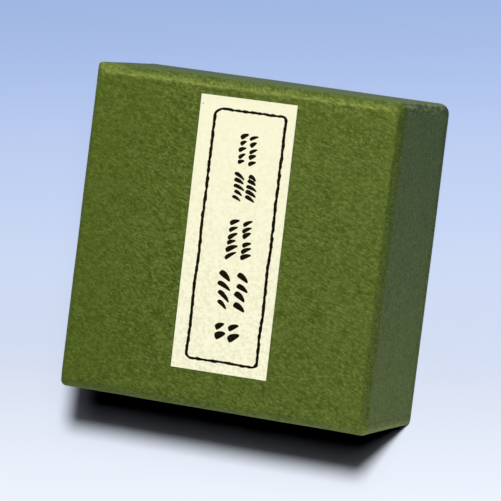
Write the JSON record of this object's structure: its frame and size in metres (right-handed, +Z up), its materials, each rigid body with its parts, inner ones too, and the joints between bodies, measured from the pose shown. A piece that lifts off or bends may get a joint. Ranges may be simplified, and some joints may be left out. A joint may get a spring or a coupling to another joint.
{
  "type": "paper-covered gift box",
  "caption": "Square card presentation box for a small incense case, with a full-depth lift-off lid, soft shoulders, fibrous green paper all over and a cream paper slip on top.",
  "frame": {"origin": "on the surface that the box lies on, under the middle of the box", "axes": "+Z up through the lid, +Y towards the head of the slip, +X to the slip's right"},
  "size_m": [0.075, 0.075, 0.0343],
  "materials": {
    "lid_cover": "matt fibrous green paper over board",
    "tray_cover": "matt fibrous green paper over board, plain cream paper inside",
    "slip": "smooth cream paper with a brushed black border"
  },
  "bodies": {
    "root": {"lid": "lid_cover", "tray": "tray_cover", "label": "slip"}
  },
  "joints": []
}
